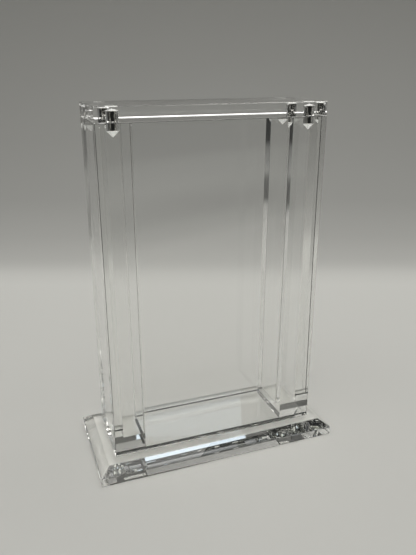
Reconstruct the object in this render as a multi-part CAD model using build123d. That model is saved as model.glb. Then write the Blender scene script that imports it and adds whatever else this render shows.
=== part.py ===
from build123d import *
import os

# Clear acrylic album stand: a bevelled base carries an open-topped case built from flat sheets
# and corner strips, with a low block at each end that the album rests on, and a loose lid plate
# is held on it by pairs of small round magnets.
# Millimetres. The origin is at the middle of the base's underside, +Z is up, +Y points to the
# back, and the long side of the stand runs along X.

# Driving dimensions
case_width = 162.0          # left to right, over the side panels
case_height = 243.0         # from the base's top face to the lid's underside
slot_depth = 27.0           # clear depth between front and back corner strips, for the album
sheet_thickness = 6.0       # front and back panels
strip_thickness = 8.0       # corner strips and side panels
strip_width = 24.0          # corner strips, along X
foot_block_height = 10.0    # blocks on the floor of the case, flush with the corner strips
lid_thickness = 10.0
lid_edge = 0.4              # polished edge break of the lid
base_thickness = 12.0
base_ledge_side = 6.5       # flat ledge of the base outside the case, left and right
base_ledge_front = 7.5      # the same at the front and the back
bevel_width = 7.5           # base bevel, seen from above
bevel_drop = 5.5            # base bevel, top edge to bottom edge

magnet_radius = 4.0
magnet_room = 0.1           # radial room around a magnet, and how far it sits below flush
lid_magnet_length = 7.0
post_magnet_length = 5.0
lid_drill_point = 1.2       # height of the shallow drill point above the lid magnet
post_drill_point = 4.1      # height of the 90 degree drill point below the post magnet

# Worked out from the driving dimensions
case_depth = slot_depth + 2 * (strip_thickness + sheet_thickness)
half_width = case_width / 2
half_depth = case_depth / 2
case_bottom = base_thickness
case_top = case_bottom + case_height
magnet_x = half_width - strip_width / 2
magnet_y = half_depth - (sheet_thickness + strip_thickness) / 2
hole_radius = magnet_radius + magnet_room

sides = {"left": -1, "right": 1}
ends = {"front": -1, "back": 1}


def plate(x_size, y_size, z_size, x_mid, y_mid, z_low):
    """A flat rectangular piece, given by its sizes, its middle in plan and its lowest level."""
    block = Box(x_size, y_size, z_size, align=(Align.CENTER, Align.CENTER, Align.MIN))
    return Pos(x_mid, y_mid, z_low) * block


def post_hole(side, end):
    """The drilled pocket in the top of one corner: a round hole with a pointed bottom."""
    depth = magnet_room + post_magnet_length
    floor_level = case_top - depth
    bore = Cylinder(hole_radius, depth, align=(Align.CENTER, Align.CENTER, Align.MIN))
    point = Cone(0, hole_radius, post_drill_point, align=(Align.CENTER, Align.CENTER, Align.MAX))
    hole = Pos(0, 0, floor_level) * bore + Pos(0, 0, floor_level) * point
    return Pos(side * magnet_x, end * magnet_y, 0) * hole


def lid_hole(side, end):
    """The drilled pocket in the lid's underside, with a shallow drill point."""
    depth = magnet_room + lid_magnet_length
    bore = Cylinder(hole_radius, depth, align=(Align.CENTER, Align.CENTER, Align.MIN))
    point = Cone(hole_radius, 0, lid_drill_point, align=(Align.CENTER, Align.CENTER, Align.MIN))
    hole = Pos(0, 0, case_top) * bore + Pos(0, 0, case_top + depth) * point
    return Pos(side * magnet_x, end * magnet_y, 0) * hole


def base_plate():
    """The foot of the stand: a thick plate with a wide bevel round its top edge."""
    top_x = case_width + 2 * base_ledge_side
    top_y = case_depth + 2 * base_ledge_front
    foot_x = top_x + 2 * bevel_width
    foot_y = top_y + 2 * bevel_width
    straight = base_thickness - bevel_drop
    lower = plate(foot_x, foot_y, straight, 0, 0, 0)
    outline = Pos(0, 0, straight) * Rectangle(foot_x, foot_y)
    top_face = Pos(0, 0, base_thickness) * Rectangle(top_x, top_y)
    return lower + loft([outline.face(), top_face.face()])


def end_panel(end):
    """The front or back sheet. The drilled corners run into its inner face."""
    y_mid = end * (half_depth - sheet_thickness / 2)
    sheet = plate(case_width, sheet_thickness, case_height, 0, y_mid, case_bottom)
    for side in sides.values():
        sheet = sheet - post_hole(side, end)
    return sheet


def corner_post(side, end):
    """A corner strip behind the front sheet or in front of the back sheet."""
    x_mid = side * magnet_x
    y_mid = end * (slot_depth + strip_thickness) / 2
    strip = plate(strip_width, strip_thickness, case_height, x_mid, y_mid, case_bottom)
    return strip - post_hole(side, end)


def side_panel(side):
    """The sheet that closes one side between the front and the back corner strips."""
    x_mid = side * (half_width - strip_thickness / 2)
    return plate(strip_thickness, slot_depth, case_height, x_mid, 0, case_bottom)


def foot_block(side):
    """A low block on the base between two corner strips, flush with their inner edges."""
    width = strip_width - strip_thickness
    x_mid = side * (half_width - strip_thickness - width / 2)
    return plate(width, slot_depth, foot_block_height, x_mid, 0, case_bottom)


def post_magnet(side, end):
    """A disc magnet glued into the top of a corner, just below flush."""
    disc = Cylinder(magnet_radius, post_magnet_length, align=(Align.CENTER, Align.CENTER, Align.MAX))
    return Pos(side * magnet_x, end * magnet_y, case_top - magnet_room) * disc


def lid_magnet(side, end):
    """The matching magnet in the lid."""
    disc = Cylinder(magnet_radius, lid_magnet_length, align=(Align.CENTER, Align.CENTER, Align.MIN))
    return Pos(side * magnet_x, end * magnet_y, case_top + magnet_room) * disc


def lid_plate():
    """The loose lid, the same size in plan as the case."""
    lid = plate(case_width, case_depth, lid_thickness, 0, 0, case_top)
    lid = chamfer(lid.edges(), lid_edge)
    for side in sides.values():
        for end in ends.values():
            lid = lid - lid_hole(side, end)
    return lid


parts = {"base_plate": base_plate(), "lid_plate": lid_plate()}
for end_name, end in ends.items():
    parts[end_name + "_panel"] = end_panel(end)
for side_name, side in sides.items():
    parts[side_name + "_side_panel"] = side_panel(side)
    parts[side_name + "_foot_block"] = foot_block(side)
for end_name, end in ends.items():
    for side_name, side in sides.items():
        corner = end_name + "_" + side_name
        parts["corner_post_" + corner] = corner_post(side, end)
        parts["post_magnet_" + corner] = post_magnet(side, end)
        parts["lid_magnet_" + corner] = lid_magnet(side, end)

os.makedirs("parts", exist_ok=True)
for name, shape in parts.items():
    export_step(shape, "parts/" + name + ".step")
    print(name, round(shape.volume, 1))
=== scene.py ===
import math

import bmesh
import bpy
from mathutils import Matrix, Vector


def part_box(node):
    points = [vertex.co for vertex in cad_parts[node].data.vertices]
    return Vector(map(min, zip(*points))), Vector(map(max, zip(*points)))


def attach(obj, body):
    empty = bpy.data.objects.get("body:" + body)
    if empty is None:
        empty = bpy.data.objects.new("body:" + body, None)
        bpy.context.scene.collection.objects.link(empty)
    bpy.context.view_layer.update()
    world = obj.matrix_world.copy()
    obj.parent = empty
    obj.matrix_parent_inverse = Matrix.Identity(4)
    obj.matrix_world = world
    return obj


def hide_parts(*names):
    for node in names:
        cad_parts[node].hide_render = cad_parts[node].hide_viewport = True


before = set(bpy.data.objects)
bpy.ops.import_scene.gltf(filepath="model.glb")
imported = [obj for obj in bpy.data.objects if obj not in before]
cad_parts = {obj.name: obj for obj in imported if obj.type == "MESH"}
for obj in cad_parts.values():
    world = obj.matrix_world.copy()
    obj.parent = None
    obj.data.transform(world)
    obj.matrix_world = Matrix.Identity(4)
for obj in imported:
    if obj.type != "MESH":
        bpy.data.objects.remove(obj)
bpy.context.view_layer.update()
mm = 0.001
print("frame loaded:", len(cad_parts), "nodes")

joint = {
    "overlap": 0.01 * mm,    # cemented faces run into each other by this much
    "airGap": 0.03 * mm,     # under the loose lid
    "sink": 0.02 * mm,       # how far the cement of a standing sheet reaches into the base
    "shyTop": 0.05 * mm,     # how far the cement stops short of a sheet's top
}
meshing = {
    "weld": 0.001 * mm,                  # corners closer than this become one
    "smoothBelow": math.radians(10),     # flatter edges than this are shaded smooth
    "turnSteps": 72,
}
camera = {"place": (-0.1421, -0.3916, 0.2889), "yaw": 0.3543, "pitch": 0.3520, "lens": 37.67, "film": 36}


def newMaterial(name):
    material = bpy.data.materials.new(name)
    material.use_nodes = True
    tree = material.node_tree
    return material, tree, tree.nodes["Principled BSDF"]


def addNode(tree, kind, **settings):
    node = tree.nodes.new(kind)
    for key, value in settings.items():
        if key in node.inputs:
            node.inputs[key].default_value = value
        else:
            setattr(node, key, value)
    return node


def mapRange(tree, source, span, toLow, toHigh):
    node = tree.nodes.new("ShaderNodeMapRange")
    node.inputs["From Min"].default_value = span[0]
    node.inputs["From Max"].default_value = span[1]
    node.inputs["To Min"].default_value = toLow
    node.inputs["To Max"].default_value = toHigh
    tree.links.new(source, node.inputs["Value"])
    return node.outputs["Result"]


def combine(tree, operation, first, second):
    node = addNode(tree, "ShaderNodeMath", operation=operation)
    tree.links.new(first, node.inputs[0])
    tree.links.new(second, node.inputs[1])
    return node.outputs["Value"]


def moveVector(tree, operation, source, amount=(0, 0, 0)):
    node = addNode(tree, "ShaderNodeVectorMath", operation=operation)
    tree.links.new(source, node.inputs[0])
    node.inputs[1].default_value = amount
    return node.outputs["Vector"]


def splitVector(tree, source):
    node = tree.nodes.new("ShaderNodeSeparateXYZ")
    tree.links.new(source, node.inputs["Vector"])
    return node.outputs


def noiseOn(tree, scale, detail):
    coordinates = tree.nodes.new("ShaderNodeTexCoord")
    mapping = tree.nodes.new("ShaderNodeMapping")
    mapping.inputs["Scale"].default_value = scale
    tree.links.new(coordinates.outputs["Object"], mapping.inputs["Vector"])
    noise = addNode(tree, "ShaderNodeTexNoise", Scale=1.0, Detail=detail)
    tree.links.new(mapping.outputs["Vector"], noise.inputs["Vector"])
    return noise.outputs["Fac"]


def twoTones(tree, shader, source, span, first, second):
    tones = tree.nodes.new("ShaderNodeMix")
    tones.data_type = "RGBA"
    tones.inputs["A"].default_value = first
    tones.inputs["B"].default_value = second
    tree.links.new(mapRange(tree, source, span, 0, 1), tones.inputs["Factor"])
    tree.links.new(tones.outputs["Result"], shader.inputs["Base Color"])


def raiseBumps(tree, shader, source, height, strength):
    bump = addNode(tree, "ShaderNodeBump", Strength=strength, Distance=height)
    tree.links.new(source, bump.inputs["Height"])
    tree.links.new(bump.outputs["Normal"], shader.inputs["Normal"])


def fillRamp(ramp, tones, tint):
    low, high = tones[0][0], tones[-1][0]
    stops = ramp.color_ramp.elements
    for place, tone in tones[1:-1]:
        stops.new((place - low) / (high - low))
    for stop, (place, tone) in zip(stops, tones):
        stop.color = [part * tone for part in tint] + [1]


def pairBox(node):    # the node's box, turned into the back right quarter
    low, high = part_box(node)
    middle = (low + high) / 2
    half = (high - low) / 2
    away = Vector((abs(middle.x), abs(middle.y), middle.z))
    return away - half, away + half


def cementedBoxes():
    caseLow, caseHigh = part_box("front_panel")
    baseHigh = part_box("base_plate")[1]
    boxes = [(Vector((-caseHigh.x, caseLow.y, 0)), Vector((caseHigh.x, -caseLow.y, baseHigh.z)))]
    for node in ("back_panel", "right_side_panel", "corner_post_back_right", "right_foot_block"):
        low, high = pairBox(node)
        boxes.append((low - Vector((0, 0, joint["sink"])), high - Vector((0, 0, joint["shyTop"]))))
    return boxes


def deepInside(tree):    # 1 where a point lies inside a cemented piece, else 0
    coordinates = tree.nodes.new("ShaderNodeTexCoord")
    quarter = moveVector(tree, "ABSOLUTE", coordinates.outputs["Object"])    # the four quarters are alike
    nearest = None
    for low, high in cementedBoxes():
        offset = moveVector(tree, "SUBTRACT", quarter, (low + high) / 2)
        past = moveVector(tree, "SUBTRACT", moveVector(tree, "ABSOLUTE", offset), (high - low) / 2)
        parts = splitVector(tree, past)
        level = combine(tree, "MAXIMUM", parts["X"], parts["Y"])
        farthest = combine(tree, "MAXIMUM", level, parts["Z"])
        nearest = farthest if nearest is None else combine(tree, "MINIMUM", nearest, farthest)
    within = addNode(tree, "ShaderNodeMath", operation="LESS_THAN")
    tree.links.new(nearest, within.inputs[0])
    within.inputs[1].default_value = -joint["overlap"] / 2
    return within.outputs["Value"]


acrylicLook = {
    "tint": (0.994, 0.995, 0.992, 1),
    "ior": 1.49,
    "waveScale": (9, 9, 2.5),      # slow waviness of a cast sheet, cycles per metre
    "waveHeight": 0.004 * mm,
    "smudgeScale": (60, 60, 25),
    "smudgeSpan": (0.62, 0.78),    # only the strongest patches of the noise are smudges
    "roughest": 0.006,
}


def clearAcrylic():
    look = acrylicLook
    material, tree, shader = newMaterial("clearAcrylic")
    shader.inputs["Transmission Weight"].default_value = 1
    shader.inputs["Base Color"].default_value = look["tint"]
    cut = addNode(tree, "ShaderNodeAttribute", attribute_name="open")
    glued = combine(tree, "SUBTRACT", deepInside(tree), cut.outputs["Fac"])
    # a face cemented into its neighbour bends no light, so the joint can't be seen
    tree.links.new(mapRange(tree, glued, (0, 1), look["ior"], 1), shader.inputs["IOR"])
    smudge = noiseOn(tree, look["smudgeScale"], 3.0)
    smears = mapRange(tree, smudge, look["smudgeSpan"], 0, look["roughest"])
    tree.links.new(smears, shader.inputs["Roughness"])
    raiseBumps(tree, shader, noiseOn(tree, look["waveScale"], 1.0), look["waveHeight"], 1.0)
    return material


# painted shade: the edge bevels are real, their near-black colour stands in for the dark lines along the
# clear edges
bevelShadeLook = {
    "dark": (0.05, 0.05, 0.048, 1),
    "pale": (0.16, 0.16, 0.155, 1),
    "grainScale": (900, 900, 900),
    "grainSpan": (0.4, 0.7),
    "roughness": 0.35,
}


def darkPaintedBevel():
    look = bevelShadeLook
    material, tree, shader = newMaterial("darkPaintedBevel")
    grain = noiseOn(tree, look["grainScale"], 2.0)
    twoTones(tree, shader, grain, look["grainSpan"], look["dark"], look["pale"])
    shader.inputs["Roughness"].default_value = look["roughness"]
    return material


drillPointLook = {
    "frostAndGlowColour": (0.97, 0.97, 0.95, 1),
    "grey": (0.86, 0.86, 0.84, 1),
    "turnScale": (300, 300, 2400),    # rings left by the drill
    "turnSpan": (0.45, 0.8),
    "roughness": 0.5,
    "paintedGlow": 0.3,                  # painted glow: emission that stands in for light the clear sheets lead to the frosted cone
}


def drillPoint():
    look = drillPointLook
    material, tree, shader = newMaterial("drillPoint")
    turns = noiseOn(tree, look["turnScale"], 2.0)
    twoTones(tree, shader, turns, look["turnSpan"], look["frostAndGlowColour"], look["grey"])
    shader.inputs["Roughness"].default_value = look["roughness"]
    # painted glow: the frosted cone emits light in its frost colour, though it is no lamp
    shader.inputs["Emission Color"].default_value = look["frostAndGlowColour"]
    shader.inputs["Emission Strength"].default_value = look["paintedGlow"]
    return material


nickelLook = {
    "bright": (0.70, 0.69, 0.66, 1),
    "dull": (0.46, 0.45, 0.43, 1),
    "cloudScale": (500, 500, 220),
    "cloudSpan": (0.4, 0.75),
    "glossSpan": (0.3, 0.8),
    "roughness": (0.03, 0.1),
    "scratchScale": (700, 700, 6000),
    "scratchHeight": 0.004 * mm,
    "scratchStrength": 0.5,
}


def nickelPlate():
    look = nickelLook
    material, tree, shader = newMaterial("nickelPlate")
    shader.inputs["Metallic"].default_value = 1
    cloud = noiseOn(tree, look["cloudScale"], 4.0)
    twoTones(tree, shader, cloud, look["cloudSpan"], look["bright"], look["dull"])
    gloss = mapRange(tree, cloud, look["glossSpan"], *look["roughness"])
    tree.links.new(gloss, shader.inputs["Roughness"])
    scratch = noiseOn(tree, look["scratchScale"], 2.0)
    raiseBumps(tree, shader, scratch, look["scratchHeight"], look["scratchStrength"])
    return material


acrylic = clearAcrylic()
nickel = nickelPlate()
bevelShade = darkPaintedBevel()
frostedAndGlowing = drillPoint()
bevelShadeSlot, frostedGlowSlot = 1, 2    # material slots after the piece's own
print("materials ready")


def finishPiece(name, bm, node, body, material):
    lastSlot = max(face.material_index for face in bm.faces)
    shell = bpy.data.meshes.new(name)
    bm.to_mesh(shell)
    bm.free()
    piece = bpy.data.objects.new(name, shell)
    bpy.context.scene.collection.objects.link(piece)
    for finish in (material, bevelShade, frostedAndGlowing)[:lastSlot + 1]:
        shell.materials.append(finish)
    shell.shade_smooth()
    shell.set_sharp_from_angle(angle=meshing["smoothBelow"])
    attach(piece, body)
    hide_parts(node)
    return piece


def blockBetween(low, high):
    bm = bmesh.new()
    bm.faces.layers.float.new("open")    # marks faces that are cut open, not cemented
    bmesh.ops.create_cube(bm, size=1)
    bmesh.ops.scale(bm, vec=high - low, verts=bm.verts)
    bmesh.ops.translate(bm, vec=(low + high) / 2, verts=bm.verts)
    return bm


def bevelEdges(bm, edges, width):
    cut = bmesh.ops.bevel(bm, geom=edges, offset=width, offset_type="OFFSET", affect="EDGES",
                          segments=1, profile=0.5, material=-1, clamp_overlap=True)
    return cut["faces"]


def breakEdge(bm, place, width):    # bevels the edge whose middle is nearest to the place and gives the bevel its painted dark shade
    edge = min(bm.edges, key=lambda edge: ((edge.verts[0].co + edge.verts[1].co) / 2 - place).length)
    openMark = bm.faces.layers.float["open"]
    for face in bevelEdges(bm, [edge], width):
        face.material_index = bevelShadeSlot
        face[openMark] = 1


def turnedSolid(centre, profile):
    bm = bmesh.new()
    verts = [bm.verts.new((radius, 0, level)) for radius, level in profile]
    edges = [bm.edges.new(pair) for pair in zip(verts, verts[1:])]
    bmesh.ops.spin(bm, geom=verts + edges, cent=(0, 0, 0), axis=(0, 0, 1), angle=2 * math.pi,
                   steps=meshing["turnSteps"], use_merge=True)
    bmesh.ops.remove_doubles(bm, verts=bm.verts, dist=meshing["weld"])
    bmesh.ops.recalc_face_normals(bm, faces=bm.faces)
    bmesh.ops.translate(bm, vec=(centre.x, centre.y, 0), verts=bm.verts)
    return bm


def middleOf(node):
    low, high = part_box(node)
    return (low + high) / 2


def radiusOf(node):
    low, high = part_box(node)
    return (high.x - low.x) / 2


drill = {
    "room": 0.1 * mm,            # round the magnet
    "reach": 2 * mm,             # how far the drill stands out of the sheet
    "postPoint": 4.1 * mm,
    "lidPoint": 1.2 * mm,
    "wallCorners": 4,
    "wallFacet": 6 * mm * mm,    # largest facet of a drilled wall
    "pointSlope": 0.3,           # facets leaning more than this are the frosted drill point
}


def drillFor(magnet, mouth, floor, tip):
    radius = radiusOf(magnet) + drill["room"]
    return turnedSolid(middleOf(magnet), [(0, mouth), (radius, mouth), (radius, floor), (0, tip)])


def postDrill(end, side):
    magnet = f"post_magnet_{end}_{side}"
    low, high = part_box(magnet)
    return drillFor(magnet, high.z + drill["reach"], low.z, low.z - drill["postPoint"])


def lidDrill(end, side):
    magnet = f"lid_magnet_{end}_{side}"
    low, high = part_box(magnet)
    return drillFor(magnet, low.z - drill["reach"], high.z, high.z + drill["lidPoint"])


def blankObject(name, bm):
    blankMesh = bpy.data.meshes.new(name)
    bm.to_mesh(blankMesh)
    bm.free()
    holder = bpy.data.objects.new(name, blankMesh)
    bpy.context.scene.collection.objects.link(holder)
    return holder


def drilled(bm, cutters):
    blank = blankObject("drilledBlank", bm)
    blank.data.materials.append(acrylic)
    blank.data.materials.append(bevelShade)
    tools = [blankObject("drill", cutter) for cutter in cutters]
    for tool in tools:
        cut = blank.modifiers.new("cut", "BOOLEAN")
        cut.operation = "DIFFERENCE"
        cut.solver = "EXACT"
        cut.object = tool
    depsgraph = bpy.context.evaluated_depsgraph_get()
    result = bmesh.new()
    result.from_mesh(blank.evaluated_get(depsgraph).to_mesh())
    openMark = result.faces.layers.float["open"]
    for face in result.faces:
        if len(face.verts) <= drill["wallCorners"] and face.calc_area() < drill["wallFacet"]:
            face[openMark] = 1
            if abs(face.normal.z) > drill["pointSlope"]:
                face.material_index = frostedGlowSlot
    for leftover in [blank] + tools:
        bpy.data.objects.remove(leftover)
    return result


edgeBreaks = {"outer": 0.3 * mm, "foot": 1.0 * mm, "top": 0.3 * mm, "inner": 0.1 * mm}
sideSigns = {"left": -1, "right": 1}
endSigns = {"front": -1, "back": 1}
corners = [(end, side) for end in endSigns for side in sideSigns]


def sheetPiece(name, node, breaks, cutters=()):
    low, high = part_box(node)
    grow = Vector((joint["overlap"],) * 3)
    low = low - grow
    high = high + grow
    if not node.endswith("block"):
        high.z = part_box("lid_plate")[0].z - joint["airGap"]
    bm = blockBetween(low, high)
    for kind, towards in breaks:
        place = (low + high) / 2 + (high - low) / 2 * Vector(towards)
        breakEdge(bm, place, edgeBreaks[kind])
    if cutters:
        bm = drilled(bm, cutters)
    return finishPiece(name, bm, node, "case", acrylic)


for end, sign in endSigns.items():
    breaks = [("foot", (0, 1, -1)), ("outer", (-1, sign, 0)), ("outer", (1, sign, 0)),
              ("top", (0, -1, 1)), ("top", (0, 1, 1))]
    sheetPiece(f"{end}Panel", f"{end}_panel", breaks, [postDrill(end, side) for side in sideSigns])
for side, sign in sideSigns.items():
    sheetPiece(f"{side}SidePanel", f"{side}_side_panel", [("top", (sign, 0, 1)), ("inner", (-sign, 0, 1))])
    sheetPiece(f"{side}FootBlock", f"{side}_foot_block", [("inner", (-sign, 0, 1)), ("foot", (-sign, 0, -1))])
for end, side in corners:
    breaks = [("inner", (-sideSigns[side], -endSigns[end], 0)), ("top", (0, -endSigns[end], 1))]
    name = f"cornerPost{end.title()}{side.title()}"
    sheetPiece(name, f"corner_post_{end}_{side}", breaks, [postDrill(end, side)])
print("case sheets ready")

base = {
    "ledgeSide": 6.5 * mm,     # flat top left beside the case
    "ledgeFront": 7.5 * mm,
    "bevelDrop": 5.5 * mm,
    "edge": 0.3 * mm,
    "backEdge": 1.5 * mm,      # as much of this as the narrow breaks leave room for
}


def basePlate():
    low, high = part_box("base_plate")
    caseLow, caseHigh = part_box("front_panel")
    topHalfX = caseHigh.x + base["ledgeSide"]
    topHalfY = -caseLow.y + base["ledgeFront"]
    bm = blockBetween(low, high)
    bmesh.ops.bisect_plane(bm, geom=bm.verts[:] + bm.edges[:] + bm.faces[:],
                           plane_co=(0, 0, high.z - base["bevelDrop"]), plane_no=(0, 0, 1))
    ring = [vert for vert in bm.verts if vert.co.z > high.z - base["edge"]]
    bmesh.ops.scale(bm, vec=(topHalfX / high.x, topHalfY / high.y, 1), verts=ring)
    bevelEdges(bm, bm.edges[:], base["edge"])
    breakEdge(bm, Vector((0, topHalfY, high.z)), base["backEdge"])    # swallows the narrow break there
    bmesh.ops.remove_doubles(bm, verts=bm.verts, dist=meshing["weld"])
    return finishPiece("basePlate", bm, "base_plate", "case", acrylic)


lid = {"edge": 0.4 * mm}


def lidPlate():
    low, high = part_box("lid_plate")
    bm = blockBetween(low, high)
    bevelEdges(bm, bm.edges[:], lid["edge"])
    bm = drilled(bm, [lidDrill(end, side) for end, side in corners])
    return finishPiece("lidPlate", bm, "lid_plate", "lid", acrylic)


basePlate()
lidPlate()
print("base and lid ready")

magnetShape = {"edge": 0.35 * mm, "shoulder": 0.3}    # the shoulder is a share of the rounded edge


def magnetDisc(name, node, body):
    low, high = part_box(node)
    radius = radiusOf(node)
    edge = magnetShape["edge"]
    shoulder = magnetShape["shoulder"] * edge
    profile = [
        (0, low.z), (radius - edge, low.z), (radius - shoulder, low.z + shoulder), (radius, low.z + edge),
        (radius, high.z - edge), (radius - shoulder, high.z - shoulder), (radius - edge, high.z), (0, high.z),
    ]
    bm = turnedSolid(middleOf(node), profile)
    return finishPiece(name, bm, node, body, nickel)


for end, side in corners:
    corner = end.title() + side.title()
    magnetDisc("postMagnet" + corner, f"post_magnet_{end}_{side}", "case")
    magnetDisc("lidMagnet" + corner, f"lid_magnet_{end}_{side}", "lid")
print("magnets ready")

paperShape = {
    "halfWidth": 4.0,
    "front": -4.0,
    "level": -0.0002,
    "bendStart": 0.34,
    "bendRadius": 0.5,
    "wallTop": 2.6,
    "bendSteps": 24,
}
paperPaintedLightLook = {
    # painted light and shade: distance along the sheet from under the stand, in metres, and how bright the
    # paper is painted there, lightest under the stand, darker up the wall, near black in bands in front
    "tones": [
        (-2.4, 0.03), (-1.3, 0.05), (-1.15, 0.35), (-0.8, 0.45), (-0.7, 0.1), (-0.55, 0.1), (-0.48, 0.615),
        (0.05, 0.655), (0.25, 0.69), (0.34, 0.71), (0.38, 0.67), (0.43, 0.52), (0.52, 0.44), (0.65, 0.37),
        (0.85, 0.345), (1.3, 0.33), (1.4, 0.2), (1.8, 0.15),
    ],
    "tint": (1, 1, 0.96),
    "roughness": 0.8,
    "shine": 0.2,
}


def paperSweep():
    shape = paperShape
    edgeY = shape["bendStart"]
    radius = shape["bendRadius"]
    profile = [(shape["front"], 0), (edgeY, 0)]
    for step in range(1, shape["bendSteps"] + 1):
        turn = math.pi / 2 * step / shape["bendSteps"]
        profile.append((edgeY + radius * math.sin(turn), radius * (1 - math.cos(turn))))
    profile.append((edgeY + radius, shape["wallTop"]))
    bm = bmesh.new()
    verts = [bm.verts.new((-shape["halfWidth"], y, z)) for y, z in profile]
    edges = [bm.edges.new(pair) for pair in zip(verts, verts[1:])]
    swept = bmesh.ops.extrude_edge_only(bm, edges=edges)["geom"]
    moved = [item for item in swept if isinstance(item, bmesh.types.BMVert)]
    bmesh.ops.translate(bm, vec=(2 * shape["halfWidth"], 0, 0), verts=moved)
    bmesh.ops.translate(bm, vec=(0, 0, shape["level"]), verts=bm.verts)
    for face in bm.faces:
        face.smooth = True
    sheet = blankObject("paperSweep", bm)
    sheet.rotation_euler.z = -camera["yaw"]
    return sheet


def paperWithPaintedLight():
    look = paperPaintedLightLook
    material, tree, shader = newMaterial("paperWithPaintedLight")
    shader.inputs["Roughness"].default_value = look["roughness"]
    shader.inputs["Specular IOR Level"].default_value = look["shine"]
    coordinates = tree.nodes.new("ShaderNodeTexCoord")
    parts = splitVector(tree, coordinates.outputs["Object"])
    along = combine(tree, "ADD", parts["Y"], parts["Z"])
    # painted light and shade: the ramp sets how bright the paper is at each distance along the sheet
    ramp = tree.nodes.new("ShaderNodeValToRGB")
    fillRamp(ramp, look["tones"], look["tint"])
    span = (look["tones"][0][0], look["tones"][-1][0])
    tree.links.new(mapRange(tree, along, span, 0, 1), ramp.inputs["Fac"])
    tree.links.new(ramp.outputs["Color"], shader.inputs["Base Color"])
    return material


sheet = paperSweep()
sheet.data.materials.append(paperWithPaintedLight())

skyLook = {
    "tones": [(0.0, 0.02), (0.1, 0.03), (0.3, 0.12), (0.6, 0.22), (1.0, 0.25)],    # dark low down, pale above
    "tint": (0.95, 0.98, 1),
}


def studioSky():
    world = bpy.data.worlds.new("studio")
    bpy.context.scene.world = world
    world.use_nodes = True
    tree = world.node_tree
    direction = tree.nodes.new("ShaderNodeTexCoord")
    ramp = tree.nodes.new("ShaderNodeValToRGB")
    fillRamp(ramp, skyLook["tones"], skyLook["tint"])
    tree.links.new(splitVector(tree, direction.outputs["Generated"])["Z"], ramp.inputs["Fac"])
    tree.links.new(ramp.outputs["Color"], tree.nodes["Background"].inputs["Color"])


studioSky()

lamps = {
    "ceiling": {"place": (0.05, -0.05, 2.0), "size": (2.4, 1.8), "glow": 2.6, "colour": (1.0, 0.98, 0.94)},
    "window": {"place": (0.20, 0.67, 0.462), "size": (0.24, 0.10), "glow": 0.85, "colour": (0.78, 0.91, 1.0)},
}
lampAim = Vector((0, 0, 0.1))


def addLamp(name, lamp):
    light = bpy.data.lights.new(name, "AREA")
    light.shape = "RECTANGLE"
    light.size, light.size_y = lamp["size"]
    light.energy = math.pi * lamp["size"][0] * lamp["size"][1] * lamp["glow"]
    light.color = lamp["colour"]
    holder = bpy.data.objects.new(name, light)
    holder.location = lamp["place"]
    holder.rotation_euler = (lampAim - Vector(lamp["place"])).to_track_quat("-Z", "Y").to_euler()
    bpy.context.scene.collection.objects.link(holder)


for name, lamp in lamps.items():
    addLamp(name, lamp)


def addCamera():
    view = bpy.data.cameras.new("camera")
    view.sensor_width = camera["film"]
    view.lens = camera["lens"]
    view.clip_start = 10 * mm
    holder = bpy.data.objects.new("camera", view)
    holder.location = camera["place"]
    holder.rotation_euler = (math.pi / 2 - camera["pitch"], 0, -camera["yaw"])
    bpy.context.scene.collection.objects.link(holder)
    return holder


bpy.context.scene.camera = addCamera()

paths = bpy.context.scene.cycles    # many clear layers need long light paths
paths.max_bounces = 160
paths.transmission_bounces = 160
paths.glossy_bounces = 96
paths.diffuse_bounces = 6
paths.blur_glossy = 0
bpy.context.scene.view_settings.view_transform = "Standard"
print("stage ready")
